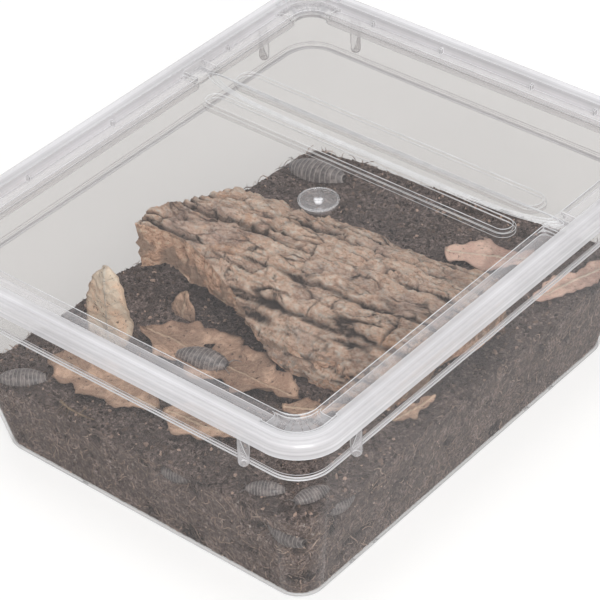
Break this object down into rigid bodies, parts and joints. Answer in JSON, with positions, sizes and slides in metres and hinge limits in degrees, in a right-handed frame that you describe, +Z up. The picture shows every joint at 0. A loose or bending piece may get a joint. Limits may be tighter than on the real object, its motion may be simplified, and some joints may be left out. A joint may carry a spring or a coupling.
{
  "type": "plastic pet keeper",
  "caption": "Clear plastic keeper tub with a lift-off lid, set up for woodlice with a bed of soil, a cork bark hide, dry leaves and roots.",
  "frame": {"origin": "middle of the tub's base, on the surface that it stands on", "axes": "+X along the short front side, +Y from the front to the back, +Z up"},
  "size_m": [0.2168, 0.2632, 0.106],
  "materials": {
    "clear_tub": "clear, slightly milky polypropylene",
    "clear_lid": "clear, slightly milky polypropylene",
    "substrate": "damp crumbly soil with fibres",
    "cork": "rough furrowed bark",
    "dry_leaf": "dry matt leaf with veins",
    "root": "dry fibre",
    "woodlouse": "satin ringed shell"
  },
  "bodies": {
    "tub": {"tub": "clear_tub", "substrate": "substrate", "cork_bark": "cork", "leaf_front": "dry_leaf", "leaf_middle": "dry_leaf", "leaf_centre": "dry_leaf", "leaf_back": "dry_leaf", "leaf_side": "dry_leaf", "leaf_under_bark": "dry_leaf", "leaf_corner": "dry_leaf", "leaf_standing": "dry_leaf", "leaf_leaning": "dry_leaf", "root_long": "root", "root_short": "root", "woodlouse_leaf": "woodlouse", "woodlouse_back": "woodlouse", "woodlouse_left": "woodlouse", "woodlouse_front": "woodlouse", "woodlouse_corner": "woodlouse", "woodlouse_burrow_front": "woodlouse", "woodlouse_burrow_corner": "woodlouse", "woodlouse_burrow_side": "woodlouse"},
    "lid": {"lid": "clear_lid"}
  },
  "joints": [
    {"name": "lid_lift", "type": "slide", "parent": "tub", "child": "lid", "axis": [0, 0, 1], "range_m": [0, 0.12]}
  ]
}
